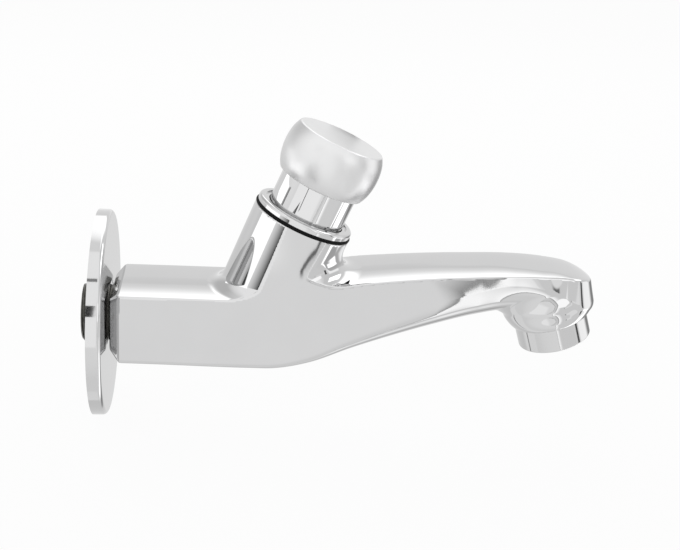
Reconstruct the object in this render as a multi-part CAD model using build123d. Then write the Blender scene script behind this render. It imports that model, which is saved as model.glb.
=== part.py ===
from build123d import *

import os
from math import atan2, cos, hypot, pi, radians, sin

# A wall-mounted self-closing tap: threaded tail, squared body, curved spout with an aerator, and a
# tilted housing with a push button over a delay cartridge. Millimetres. +X runs out of the wall,
# +Z is up, and the origin is on the tail's axis in the plane of the wall.

# Clearances
screw_gap = 0.05
slip_gap = 0.02
running_gap = 0.06
piston_gap = 0.08
piston_top_gap = 0.3
lip_gap = 0.04
seat_gap = 0.05
sleeve_play = 0.35
sleeve_room = 1.1
sleeve_floor_gap = 0.5
cap_rest_gap = 1.3
cap_bore_play = 0.7
cap_clip_play = 0.3
chamber_floor_gap = 0.7
flange_play = 0.32
flange_gap = 0.6
clamp_play = 0.2

# Tail: a half-inch parallel pipe thread and the inlet bore
thread_diameter = 20.955
thread_pitch = 1.814
thread_depth = 1.162
crest_width = 0.3
tail_reach = 4.5
neck_diameter = 18.4
tail_bite = 1.0
inlet_bore = 13.0

# Sieve in the inlet, and the ring that holds it
sieve_seat_bore = 14.8
sieve_seat_depth = 3.3
sieve_rim = 0.8
sieve_depth = 10.0
sieve_wall = 0.6
sieve_radius = 5.5
sieve_hole_radius = 0.7
sieve_rows = 3
sieve_row_pitch = 2.4
sieve_first_row = 2.8
sieve_holes_round = 8
sieve_end_holes = 6
sieve_end_circle = 3.2
keeper_width = 1.3
keeper_thickness = 1.0
keeper_mouth = 3.0

# Wall flange
flange_diameter = 69.6
flange_height = 4.6
flange_wall = 1.2
flange_draft = 0.4
flange_rounding = 1.4
shoulder_x = flange_height + flange_gap
thread_stop = 0.1
thread_end = flange_height - flange_wall - thread_stop

# Valve: seat, washer and the cup that holds it, heights along the button's axis from its foot
stroke = 7.5
seat_height = 7.5
seat_bore_radius = 5.0
seat_lip_width = 0.8
seat_lip_radius = seat_bore_radius + seat_lip_width
seat_lip_height = 0.5
washer_reach = 1.45
washer_radius = seat_lip_radius + washer_reach
washer_thickness = 2.45
holder_wall = 0.7
holder_base = 1.0
holder_rim = 1.9
nut_width = 5.5
nut_thickness = 2.0
stub_reach = 0.3
washer_top = seat_height - seat_gap
holder_top = washer_top - washer_thickness
spindle_base = holder_top - holder_base - nut_thickness - stub_reach

# Cartridge
flow_gap = 2.25
chamber_radius = washer_radius + flow_gap
nose_step = 0.75
nose_radius = chamber_radius - nose_step
nose_bore_rise = 1.5
nose_bore_start = seat_height + nose_bore_rise
nose_land = 1.0
nose_groove_start = nose_bore_start + nose_land
nose_groove_width = 2.0
nose_groove_depth = 1.45
nose_bore_length = 4.5
nose_bore_end = nose_bore_start + nose_bore_length
cylinder_radius = 8.4
cylinder_wall = 1.8
cartridge_radius = cylinder_radius + cylinder_wall
step_gap = 0.4
cartridge_step = nose_bore_end + step_gap
window_floor_rise = 0.1
window_floor = cartridge_step + window_floor_rise
window_room_inset = 1.2
window_room_radius = cylinder_radius - window_room_inset
window_width = 7.0
window_height = 3.0
window_drop = 0.3
window_count = 4
window_room_height = 3.5
partition_height = window_floor + window_room_height
partition_thickness = 2.0
bleed_radius = 0.9
bleed_circle = 5.6
bleed_count = 4
piston_height = 4.0
spring_solid_room = 4.5
piston_start = partition_height + partition_thickness + spring_solid_room + stroke
cylinder_end = piston_start + piston_height + piston_top_gap
cover_thread_step = 0.6
cover_thread_radius = cylinder_radius + cover_thread_step
cover_thread_length = 3.7
cartridge_end = cylinder_end + cover_thread_length
cover_flange = 1.2
cover_groove_rise = 1.4
cover_groove_start = cylinder_end + cover_groove_rise
cover_groove_width = 1.8
cover_groove_depth = 1.25
cover_key_radius = 0.9
cover_key_circle = 7.0
cover_key_depth = 1.5
gasket_thickness = 1.0
cartridge_flange = 2.0

# Sleeve, bezel and the housing round the cartridge, each as wide as what it holds
sleeve_wall = 1.2
sleeve_radius = cartridge_radius + sleeve_room + sleeve_wall
skirt_wall = 1.4
bezel_bore = sleeve_radius + sleeve_play
cartridge_bore_radius = bezel_bore + skirt_wall + screw_gap
cartridge_flange_radius = cartridge_bore_radius - clamp_play
shoulder_width = 1.8
ring_chamber_radius = cartridge_bore_radius - shoulder_width
ring_chamber_height = 8.5
shoulder_height = nose_bore_end + ring_chamber_height
cartridge_flange_top = shoulder_height + gasket_thickness + cartridge_flange
sleeve_start = cartridge_flange_top + sleeve_floor_gap + stroke
rim_height = 38.0
rim_wall = 2.7
rim_radius = cartridge_bore_radius + rim_wall
rim_rounding = 0.5
housing_draft = 0.7
housing_foot_radius = rim_radius - housing_draft
housing_foot_height = 10.0
housing_fillet = 4.0
fillet_reach = 0.1
seal_line = 0.8
seal_inset = 0.1
bezel_inset = 0.5
bezel_radius = rim_radius - bezel_inset
bezel_height = 2.4
bezel_rounding = 1.0
bezel_lip_width = 1.75
bezel_lip_radius = bezel_bore + bezel_lip_width
bezel_lip_depth = 0.7
bezel_top = rim_height + seal_line + bezel_height

# Button
cap_skirt_height = bezel_top + cap_rest_gap + stroke
cap_height = 19.3
cap_top_height = cap_skirt_height + cap_height
cap_skirt_wall = 1.0
cap_skirt_radius = sleeve_radius + cap_skirt_wall
cap_shoulder_reach = 1.4
cap_shoulder_radius = cap_skirt_radius + cap_shoulder_reach
cap_edge_inset = 0.2
cap_edge_radius = cap_shoulder_radius - cap_edge_inset
cap_top_inset = 0.8
cap_top_radius = cap_shoulder_radius - cap_top_inset
cap_shoulder_drop = 0.6
cap_edge_drop = 0.15
cap_roof = 3.0
cap_seat_depth = 5.0
cap_boss_radius = 5.5

# Spindle and the pieces that it carries
button_seat_rise = 2.0
button_seat_height = cap_skirt_height + button_seat_rise
spindle_radius = 2.5
spindle_head_step = 0.7
spindle_head_radius = spindle_radius + spindle_head_step
spindle_stub_step = 0.5
spindle_stub_radius = spindle_radius - spindle_stub_step
spindle_tip_step = 0.1
spindle_tip_radius = spindle_radius + spindle_tip_step
spindle_tip_height = 7.5
piston_groove = 1.8
piston_groove_depth = 1.8
piston_groove_radius = cylinder_radius - piston_groove_depth
lip_wall = 0.45
lip_web = 0.7
lip_lean = 0.25
jet_radius = 1.2
jet_bore_radius = 0.35
jet_offset = 4.6
clip_groove_depth = 0.5
clip_groove_play = 0.1
clip_thickness = 0.6
clip_reach = 1.4
clip_radius = spindle_radius + clip_reach
clip_mouth = 2.6
cap_clip_reach = 0.6
cap_clip_radius = spindle_tip_radius + cap_clip_reach
cap_clip_thickness = 0.8
cap_clip_mouth = 1.8
cap_clip_rise = 3.1

# Return spring under the piston
spring_wire = 1.1
spring_inset = 2.2
spring_radius = cylinder_radius - spring_inset
spring_turns = 3
spring_end_gap = 0.05

# Body and spout of the casting
button_tilt = 22.2
button_foot = 53.8
housing_inset = 0.2
body_width = 2 * (housing_foot_radius + housing_inset)
body_top = 11.8
body_bottom = 12.1
body_bevel = 3.3
spout_start = 6.2
body_length = button_foot + spout_start
spout_reach = 170.8
edge_rounding = 1.1

# Aerator, heights along the outlet's axis
outlet_setback = 12.2
outlet_x = spout_reach - outlet_setback
outlet_drop = 16.5
outlet_z = body_top - outlet_drop
outlet_tilt = 18.0
outlet_thread_radius = 12.0
shell_wall = 0.6
aerator_radius = outlet_thread_radius + shell_wall
aerator_height = 7.2
aerator_edge = 0.5
outlet_thread_length = 6.8
outlet_bore_length = aerator_height + outlet_thread_length
gasket_seat_width = 2.5
outlet_room_radius = outlet_thread_radius - gasket_seat_width
outlet_room_height = 5.0
outlet_room_end = outlet_bore_length + outlet_room_height
gasket_room = 1.0
shell_top = outlet_bore_length - gasket_room
shell_thread_wall = 0.8
shell_bore_radius = outlet_thread_radius - shell_thread_wall
shell_lip_width = 0.8
shell_lip_radius = shell_bore_radius - shell_lip_width
shell_lip_height = 0.9
screen_thickness = 0.7
screen_hole_radius = 0.7
screen_pitch = 1.9
screen_rings = 5
screen_play = 0.1
regulator_height = 2.2
regulator_floor = 0.8
regulator_top_gap = 0.4
insert_top = shell_top - regulator_height - regulator_top_gap
insert_disc = 1.6
insert_wall = 0.9
insert_jets = 24
insert_jet_radius = 0.55
jet_circle_inset = 2.8
insert_jet_circle = shell_bore_radius - jet_circle_inset
regulator_groove_radius = 5.2
regulator_ring_radius = 0.9
regulator_ring_play = 0.3
regulator_holes = 12
regulator_hole_radius = 0.5

# Channel from the ring round the cartridge to the outlet: width, height and the ends of its middle line
channel_width = 13.0
channel_height = 6.4
channel_lead = 14.2
channel_start_rise = 0.2
channel_setback = 2.6
channel_end_rise = 3.3
channel_start = (button_foot + channel_lead, body_top + channel_start_rise)
channel_end = (outlet_x - channel_setback, body_top + channel_end_rise)

button_place = Plane(
    origin=(button_foot, 0, 0),
    x_dir=(cos(radians(button_tilt)), 0, -sin(radians(button_tilt))),
    z_dir=(sin(radians(button_tilt)), 0, cos(radians(button_tilt))),
).location
outlet_place = Plane(
    origin=(outlet_x, 0, outlet_z),
    x_dir=(cos(radians(outlet_tilt)), 0, sin(radians(outlet_tilt))),
    z_dir=(-sin(radians(outlet_tilt)), 0, cos(radians(outlet_tilt))),
).location
tail_place = Plane(origin=(0, 0, 0), x_dir=(0, 1, 0), z_dir=(1, 0, 0)).location


def turned(place, *outline):
    """A round piece: an outline of (radius, height) corners and edges, turned about a place's axis."""
    edges = []
    last = None
    for item in outline:
        if isinstance(item, tuple):
            point = Vector(item[0], 0, item[1])
            if last is not None and (point - last).length > 1e-6:
                edges.append(Edge.make_line(last, point))
            last = point
        else:
            start = item.position_at(0)
            if last is not None and (start - last).length > 1e-6:
                edges.append(Edge.make_line(last, start))
            edges.append(item)
            last = item.position_at(1)
    first = edges[0].position_at(0)
    if (first - last).length > 1e-6:
        edges.append(Edge.make_line(last, first))
    return place * revolve(make_face(edges), Axis.Z)


def arc_through(start, middle, end):
    """An arc in an outline, through three (radius, height) points."""
    points = [Vector(radius, 0, height) for radius, height in (start, middle, end)]
    return Edge.make_three_point_arc(*points)


def rounded_corner(start, corner, end):
    """An arc in an outline that rounds a square corner, between two points at the same reach from it."""
    share = 1 - cos(pi / 4)
    middle = [c + share * (a + b - 2 * c) for a, c, b in zip(start, corner, end)]
    return arc_through(start, middle, end)


def curve_through(points):
    """A smooth curve in an outline, through (radius, height) points."""
    return Edge.make_spline([Vector(radius, 0, height) for radius, height in points])


def rod(place, radius, start, end):
    """A plain round rod between two heights on a place's axis."""
    return turned(place, (0, start), (radius, start), (radius, end), (0, end))


def ring(place, inner, outer, start, end):
    """A plain flat ring between two heights on a place's axis."""
    return turned(place, (inner, start), (outer, start), (outer, end), (inner, end))


# Sections of the spout: share of its length, rise of the top, rise of the underside, how much
# narrower it is each side than the body, how much wider it is below, and its lower rounding
spout_shape = [
    (0.0, 0.0, -0.6, 0.0, 0.0, edge_rounding),
    (0.1083, 3.1, 1.7, 0.6, 0.0, 1.4),
    (0.2347, 5.9, 6.9, 1.8, 0.0, 2.0),
    (0.361, 7.4, 11.3, 2.7, 0.0, 3.0),
    (0.4874, 8.5, 15.5, 2.8, 0.2, 4.0),
    (0.6137, 9.2, 19.1, 3.1, 0.6, 4.6),
    (0.722, 9.5, 21.1, 3.6, 1.4, 5.0),
    (0.8123, 9.2, 20.7, 4.3, 2.4, 5.0),
    (0.8845, 8.3, 19.5, 5.6, 3.0, 5.0),
    (0.9386, 6.6, 18.5, 8.1, 3.2, 4.8),
    (0.9747, 4.4, 18.3, 11.1, 2.8, 4.0),
    (1.0, 1.6, 19.5, 14.1, 0.6, 1.6),
]
spout_sections = [
    (
        body_length + share * (spout_reach - body_length),
        body_top + rise,
        lift - body_bottom,
        body_width / 2 - narrowing,
        flare,
        rounding,
    )
    for share, rise, lift, narrowing, flare, rounding in spout_shape
]

# Outline of the outlet's bowl: how much wider than the aerator, and height above it
bowl_outline = [(0.3, 0.0), (2.3, 3.6), (3.0, 7.3), (0.8, 11.8), (-3.0, 14.6)]

# Outline of the button's barrel: how much wider than its skirt, and share of its height
cap_outline = [(0.0, 0.0), (2.3, 0.15), (3.5, 0.45), (3.0, 0.74)]


def spout_section(x, top, under, half, flare, rounding):
    """A cross-section of the spout: flat top, small upper rounding, sides that may flare, rounded below."""
    slope = flare / (top - under)
    lean = atan2(flare, top - under)
    low = under + rounding
    high = top - edge_rounding
    right_high = half + slope * (top - high) - edge_rounding / cos(lean)
    right_low = half + slope * (top - low) - rounding / cos(lean)
    corners = [
        (right_high, high, edge_rounding, lean, pi / 2),
        (-right_high, high, edge_rounding, pi / 2, pi - lean),
        (-right_low, low, rounding, pi - lean, 3 * pi / 2),
        (right_low, low, rounding, 3 * pi / 2, 2 * pi + lean),
    ]
    arcs = []
    for y, z, turn, start, end in corners:
        angles = (start, (start + end) / 2, end)
        points = [Vector(x, y + turn * cos(a), z + turn * sin(a)) for a in angles]
        arcs.append(Edge.make_three_point_arc(*points))
    edges = []
    for arc, following in zip(arcs, arcs[1:] + arcs[:1]):
        edges += [arc, Edge.make_line(arc.position_at(1), following.position_at(0))]
    return make_face(edges)


def spout():
    """The curved spout, drawn smoothly through its sections."""
    return loft([spout_section(*section) for section in spout_sections])


def squared_body():
    """The body between the wall and the spout, bevelled all round at the wall's end."""
    half = body_width / 2
    bevelled = (
        shoulder_x,
        body_top - body_bevel,
        body_bevel - body_bottom,
        half - body_bevel,
        0.0,
        edge_rounding,
    )
    full = (shoulder_x + body_bevel, body_top, -body_bottom, half, 0.0, edge_rounding)
    return loft([spout_section(*section) for section in (bevelled, full, spout_sections[0])], ruled=True)


def outlet_bowl():
    """The rounded bowl round the outlet, with its upper part buried in the spout."""
    points = [(aerator_radius + wider, aerator_height + rise) for wider, rise in bowl_outline]
    return turned(outlet_place, (0, points[0][1]), curve_through(points), (0, points[-1][1]))


def threaded_tail():
    """The tail: a root cylinder with thread crests up to the wall flange, then a plain neck."""
    crest = thread_diameter / 2
    root = crest - thread_depth
    half = (thread_pitch - crest_width) / 2
    outline = [(0, -tail_reach), (root, -tail_reach)]
    count = int((thread_end + tail_reach - crest_width) / thread_pitch)
    first = thread_end - crest_width - count * thread_pitch
    for turn in range(count + 1):
        low = first + turn * thread_pitch
        if low - half > -tail_reach:
            outline.append((root, low - half))
        outline += [(crest, low), (crest, low + crest_width)]
    neck = neck_diameter / 2
    outline += [(neck, thread_end + half), (neck, shoulder_x + tail_bite), (0, shoulder_x + tail_bite)]
    return turned(tail_place, *outline)


def waterways():
    """Everything cut out of the casting, from the tail's bore to the outlet."""
    bore = rod(tail_place, inlet_bore / 2, -tail_reach - 1, button_foot)
    seat = rod(tail_place, sieve_seat_bore / 2, -tail_reach - 1, -tail_reach + sieve_seat_depth)
    floor = spindle_base - stroke - chamber_floor_gap
    cavity = turned(
        button_place,
        (0, floor),
        (chamber_radius, floor),
        (chamber_radius, nose_bore_start),
        (nose_radius + screw_gap, nose_bore_start),
        (nose_radius + screw_gap, nose_bore_end),
        (ring_chamber_radius, nose_bore_end),
        (ring_chamber_radius, shoulder_height),
        (cartridge_bore_radius, shoulder_height),
        (cartridge_bore_radius, rim_height + 1),
        (0, rim_height + 1),
    )
    start = Vector(channel_start[0], 0, channel_start[1])
    run = Vector(channel_end[0], 0, channel_end[1]) - start
    mouth = Plane(origin=start, x_dir=(0, 1, 0), z_dir=run)
    channel = extrude(mouth * SlotOverall(channel_width, channel_height), run.length)
    outlet = turned(
        outlet_place,
        (0, 0),
        (outlet_thread_radius + screw_gap, 0),
        (outlet_thread_radius + screw_gap, outlet_bore_length),
        (outlet_room_radius, outlet_bore_length),
        (outlet_room_radius, outlet_room_end),
        (0, outlet_room_end),
    )
    return [bore, seat, cavity, channel, outlet]


def housing():
    """The round housing on the button's axis, a little slimmer where it leaves the body."""
    top = rim_height
    turn = rim_rounding
    return turned(
        button_place,
        (0, 0),
        (housing_foot_radius, 0),
        (housing_foot_radius, housing_foot_height),
        rounded_corner((rim_radius, top - turn), (rim_radius, top), (rim_radius - turn, top)),
        (0, top),
    )


def on_junction(edge):
    """True for an edge where the housing stands on the body or the spout."""
    spot = (button_place.inverse() * Location(edge.position_at(1 / 2))).position
    on_wall = housing_foot_radius - fillet_reach < hypot(spot.X, spot.Y) < rim_radius - fillet_reach
    on_top = edge.center().Z > body_top - edge_rounding
    return on_wall and on_top and edge.geom_type != GeomType.CIRCLE


def tap_body():
    """The casting: squared body, spout, housing, outlet bowl and threaded tail, with its waterways."""
    casting = squared_body() + spout() + housing()
    casting = fillet([e for e in casting.edges() if on_junction(e)], housing_fillet)
    casting += outlet_bowl()
    casting += threaded_tail()
    for passage in waterways():
        casting -= passage
    return casting


def wall_flange():
    """The pressed dish that covers the hole in the wall, loose on the tail."""
    outer = flange_diameter / 2
    bore = thread_diameter / 2 + flange_play
    turn = flange_rounding
    top = flange_height
    edge = outer - flange_draft
    return turned(
        tail_place,
        (outer - flange_wall, 0),
        (outer, 0),
        (edge, top - turn),
        rounded_corner((edge, top - turn), (edge, top), (edge - turn, top)),
        (bore, top),
        (bore, top - flange_wall),
        (edge - turn, top - flange_wall),
    )


def inlet_strainer():
    """A cup-shaped sieve: a rim on the seat in the tail, a drilled wall and a drilled end."""
    start = -tail_reach + sieve_seat_depth - sieve_rim
    end = start + sieve_depth
    rim = sieve_seat_bore / 2 - screw_gap
    inner = sieve_radius - sieve_wall
    sieve = turned(
        tail_place,
        (inner, start),
        (rim, start),
        (rim, start + sieve_rim),
        (sieve_radius, start + sieve_rim),
        (sieve_radius, end),
        (0, end),
        (0, end - sieve_wall),
        (inner, end - sieve_wall),
    )
    drill = Cylinder(sieve_hole_radius, 2 * sieve_radius, align=(Align.CENTER, Align.CENTER, Align.MIN))
    step = 360 / sieve_holes_round
    for row in range(sieve_rows):
        x = start + sieve_first_row + row * sieve_row_pitch
        for hole in range(sieve_holes_round):
            sieve -= Pos(x, 0, 0) * Rot((hole + row / 2) * step, 0, 0) * drill
    for place in PolarLocations(sieve_end_circle, sieve_end_holes):
        sieve -= tail_place * Pos(0, 0, end - 2 * sieve_wall) * place * drill
    return sieve


def strainer_ring():
    """The open spring ring that holds the sieve against its seat."""
    end = -tail_reach + sieve_seat_depth - sieve_rim
    outer = sieve_seat_bore / 2 - screw_gap
    loop = ring(tail_place, outer - keeper_width, outer, end - keeper_thickness, end)
    return loop - Pos(end, 0, outer) * Box(4 * keeper_thickness, keeper_mouth, 3 * keeper_width)


def cartridge_body():
    """The cartridge: seat and nose below, windows, delay cylinder and clamping flange."""
    groove_end = nose_groove_start + nose_groove_width
    flange_start = shoulder_height + gasket_thickness
    partition_end = partition_height + partition_thickness
    tube = turned(
        button_place,
        (seat_bore_radius, seat_height),
        (seat_lip_radius, seat_height),
        (seat_lip_radius, seat_height + seat_lip_height),
        (nose_radius, seat_height + seat_lip_height),
        (nose_radius, nose_groove_start),
        (nose_radius - nose_groove_depth, nose_groove_start),
        (nose_radius - nose_groove_depth, groove_end),
        (nose_radius, groove_end),
        (nose_radius, cartridge_step),
        (cartridge_radius, cartridge_step),
        (cartridge_radius, flange_start),
        (cartridge_flange_radius, flange_start),
        (cartridge_flange_radius, cartridge_flange_top),
        (cartridge_radius, cartridge_flange_top),
        (cartridge_radius, cartridge_end),
        (cover_thread_radius, cartridge_end),
        (cover_thread_radius, cylinder_end),
        (cylinder_radius, cylinder_end),
        (cylinder_radius, partition_end),
        (spindle_radius + running_gap, partition_end),
        (spindle_radius + running_gap, partition_height),
        (window_room_radius, partition_height),
        (window_room_radius, window_floor),
        (seat_bore_radius, window_floor),
    )
    middle = partition_height - window_drop - window_height / 2
    for place in PolarLocations(0, window_count):
        window = Pos(cartridge_radius, 0, middle) * Box(cartridge_radius, window_width, window_height)
        tube -= button_place * place * window
    for place in PolarLocations(bleed_circle, bleed_count, start_angle=45):
        bleed = Cylinder(bleed_radius, 3 * partition_thickness)
        tube -= button_place * Pos(0, 0, partition_height) * place * bleed
    return tube


def nose_o_ring():
    """The seal ring in the nose's groove."""
    inner = nose_radius - nose_groove_depth
    outer = nose_radius + screw_gap
    middle = nose_groove_start + nose_groove_width / 2
    return seal_ring(button_place, inner, outer, middle, nose_groove_width)


def seal_ring(place, inner, outer, middle, height):
    """A squeezed rubber ring: flat where it is pressed, round above and below."""
    centre = (inner + outer) / 2
    flat = height / 2 - (outer - inner) / 2
    return turned(
        place,
        (inner, middle - flat),
        arc_through((inner, middle - flat), (centre, middle - height / 2), (outer, middle - flat)),
        (outer, middle + flat),
        arc_through((outer, middle + flat), (centre, middle + height / 2), (inner, middle + flat)),
        (inner, middle - flat),
    )


def cartridge_gasket():
    """The flat ring between the cartridge's flange and the casting's shoulder."""
    return ring(
        button_place,
        ring_chamber_radius,
        cartridge_flange_radius,
        shoulder_height,
        shoulder_height + gasket_thickness,
    )


def cartridge_cover():
    """The screwed cover of the delay cylinder, bored for the spindle and grooved for its seal."""
    bore = spindle_head_radius + running_gap
    groove = bore + cover_groove_depth
    groove_end = cover_groove_start + cover_groove_width
    cover = turned(
        button_place,
        (bore, cylinder_end),
        (cover_thread_radius - screw_gap, cylinder_end),
        (cover_thread_radius - screw_gap, cartridge_end),
        (cartridge_radius, cartridge_end),
        (cartridge_radius, cartridge_end + cover_flange),
        (bore, cartridge_end + cover_flange),
        (bore, groove_end),
        (groove, groove_end),
        (groove, cover_groove_start),
        (bore, cover_groove_start),
    )
    for place in PolarLocations(cover_key_circle, 2):
        key = Cylinder(cover_key_radius, 2 * cover_key_depth)
        cover -= button_place * Pos(0, 0, cartridge_end + cover_flange) * place * key
    return cover


def spindle_o_ring():
    """The seal ring round the spindle in the cover."""
    bore = spindle_head_radius + running_gap
    middle = cover_groove_start + cover_groove_width / 2
    return seal_ring(button_place, bore, bore + cover_groove_depth, middle, cover_groove_width)


def spindle():
    """The rod from the valve to the button: stub, shank, thicker head and tip, grooved for two clips."""
    lower_groove = piston_start - clip_thickness
    upper_groove = button_seat_height + cap_clip_rise - clip_groove_play
    upper_end = upper_groove + cap_clip_thickness + 2 * clip_groove_play
    tip = button_seat_height + spindle_tip_height
    point = spindle_tip_radius - clip_groove_depth
    return turned(
        button_place,
        (0, spindle_base),
        (spindle_stub_radius, spindle_base),
        (spindle_stub_radius, washer_top),
        (spindle_radius, washer_top),
        (spindle_radius, lower_groove),
        (spindle_stub_radius, lower_groove),
        (spindle_stub_radius, piston_start),
        (spindle_radius, piston_start),
        (spindle_radius, piston_start + piston_height),
        (spindle_head_radius, piston_start + piston_height),
        (spindle_head_radius, button_seat_height),
        (spindle_tip_radius, button_seat_height),
        (spindle_tip_radius, upper_groove),
        (point, upper_groove),
        (point, upper_end),
        (spindle_tip_radius, upper_end),
        (spindle_tip_radius, tip - clip_groove_depth),
        (point, tip),
        (0, tip),
    )


def piston():
    """The delay piston, grooved for its lip seal and drilled for the jet."""
    end = piston_start + piston_height
    outer = cylinder_radius - piston_gap
    groove_start = piston_start + (piston_height - piston_groove) / 2
    disc = turned(
        button_place,
        (spindle_radius + slip_gap, piston_start),
        (outer, piston_start),
        (outer, groove_start),
        (piston_groove_radius, groove_start),
        (piston_groove_radius, groove_start + piston_groove),
        (outer, groove_start + piston_groove),
        (outer, end),
        (spindle_radius + slip_gap, end),
    )
    return disc - button_place * Pos(jet_offset, 0, piston_start) * Cylinder(jet_radius, 3 * piston_height)


def piston_lip_seal():
    """The one-way seal round the piston: a heel and a lip that leans out to the cylinder's wall."""
    start = piston_start + (piston_height - piston_groove) / 2 + slip_gap
    end = start + piston_groove - 2 * slip_gap
    lip = cylinder_radius - lip_gap
    inner = piston_groove_radius + slip_gap
    return turned(
        button_place,
        (inner, start),
        (lip - lip_lean, start),
        (lip, end - lip_wall),
        (lip, end),
        (lip - lip_wall, end),
        (lip - lip_wall - lip_lean, start + lip_web),
        (inner + lip_wall, start + lip_web),
        (inner + lip_wall, end),
        (inner, end),
    )


def metering_jet():
    """The small drilled plug in the piston that lets the water by slowly."""
    place = button_place * Pos(jet_offset, 0, 0)
    outer = jet_radius - slip_gap
    return ring(place, jet_bore_radius, outer, piston_start, piston_start + piston_height)


def piston_clip():
    """The open snap ring under the piston."""
    inner = spindle_stub_radius + slip_gap
    loop = ring(button_place, inner, clip_radius, piston_start - clip_thickness, piston_start)
    mouth = Box(2 * clip_radius, clip_mouth, 3 * clip_thickness)
    return loop - button_place * Pos(-clip_radius, 0, piston_start) * mouth


def washer_holder():
    """The cup that backs the valve washer."""
    bore = spindle_stub_radius + slip_gap
    inner = washer_radius + slip_gap
    return turned(
        button_place,
        (bore, holder_top - holder_base),
        (inner + holder_wall, holder_top - holder_base),
        (inner + holder_wall, holder_top + holder_rim),
        (inner, holder_top + holder_rim),
        (inner, holder_top),
        (bore, holder_top),
    )


def valve_washer():
    """The rubber washer that closes upward on the seat's lip."""
    return ring(button_place, spindle_stub_radius + slip_gap, washer_radius, holder_top, washer_top)


def holder_nut():
    """The hexagon nut under the cup."""
    start = holder_top - holder_base - nut_thickness
    across = nut_width / 2 / cos(pi / 6)
    hexagon = extrude(RegularPolygon(across, 6), nut_thickness)
    nut = hexagon - Cylinder(spindle_stub_radius + slip_gap, 3 * nut_thickness)
    return button_place * Pos(0, 0, start) * nut


def cap_clip():
    """The open snap ring that keeps the button on the spindle's tip."""
    start = button_seat_height + cap_clip_rise
    inner = spindle_tip_radius - clip_groove_depth + slip_gap
    loop = ring(button_place, inner, cap_clip_radius, start, start + cap_clip_thickness)
    mouth = Box(2 * cap_clip_radius, cap_clip_mouth, 3 * cap_clip_thickness)
    return loop - button_place * Pos(-cap_clip_radius, 0, start) * mouth


def biarc(start, start_way, end, end_way):
    """Two arcs that leave one point and reach another along stated directions."""
    gap = end - start
    ways = start_way + end_way
    a = 2 * (1 - start_way.dot(end_way))
    b = 2 * gap.dot(ways)
    reach = (-b + (b * b + 4 * a * gap.dot(gap)) ** 0.5) / (2 * a)
    joint = (start + start_way * reach + end - end_way * reach) / 2
    first = Edge.make_tangent_arc(start, start_way, joint)
    second = Edge.make_tangent_arc(joint, first.tangent_at(1), end)
    return [first, second]


def return_spring():
    """The coil spring between the partition and the piston, one unbroken round wire."""
    low = partition_height + partition_thickness + spring_end_gap + spring_wire / 2
    high = piston_start - spring_end_gap - spring_wire / 2
    steps = 4 * spring_turns
    pitch = (high - low) / spring_turns

    def place_at(turn):
        angle = 2 * pi * turn
        return Vector(spring_radius * cos(angle), spring_radius * sin(angle), low + pitch * turn)

    def way_at(turn):
        angle = 2 * pi * turn
        around = 2 * pi * spring_radius
        return Vector(-around * sin(angle), around * cos(angle), pitch).normalized()

    turns = [step / 4 for step in range(steps + 1)]
    path = []
    for here, there in zip(turns, turns[1:]):
        path += biarc(place_at(here), way_at(here), place_at(there), way_at(there))
    section = Plane(origin=place_at(0), z_dir=way_at(0)) * Circle(spring_wire / 2)
    wire = Wire(path)
    coil = sweep(section, path=wire)
    print("spring: least gap between turns", round(least_gap(wire), 2), "mm")
    return button_place * coil


def least_gap(wire):
    """The least room between neighbouring turns, measured on points of the wire's centre line."""
    count = 60 * spring_turns
    points = [wire.position_at(i / count) for i in range(count + 1)]
    far = count // spring_turns // 2
    gaps = [(points[i] - points[j]).length for i in range(count + 1) for j in range(i + far, count + 1)]
    return min(gaps) - spring_wire


def housing_o_ring():
    """The black seal that shows as a line between the housing's rim and the bezel."""
    start = rim_height
    end = rim_height + seal_line
    outer = bezel_radius - seal_inset
    inner = cartridge_bore_radius
    half = seal_line / 2
    return turned(
        button_place,
        (inner, start),
        (outer - half, start),
        arc_through((outer - half, start), (outer, start + half), (outer - half, end)),
        (inner, end),
    )


def bezel_nut():
    """The bezel: a ring above the housing with a recessed lip, and a skirt that clamps the cartridge."""
    outer = bezel_radius
    top = bezel_top
    turn = bezel_rounding
    skirt = bezel_bore + skirt_wall
    return turned(
        button_place,
        (bezel_bore, cartridge_flange_top),
        (skirt, cartridge_flange_top),
        (skirt, top - bezel_height),
        (outer, top - bezel_height),
        rounded_corner((outer, top - turn), (outer, top), (outer - turn, top)),
        (bezel_lip_radius, top),
        (bezel_lip_radius, top - bezel_lip_depth),
        (bezel_bore, top - bezel_lip_depth),
    )


def push_sleeve():
    """The chromed tube that runs from the button down into the bezel."""
    end = cap_skirt_height + cap_seat_depth - screw_gap
    return ring(button_place, sleeve_radius - sleeve_wall, sleeve_radius, sleeve_start, end)


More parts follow.
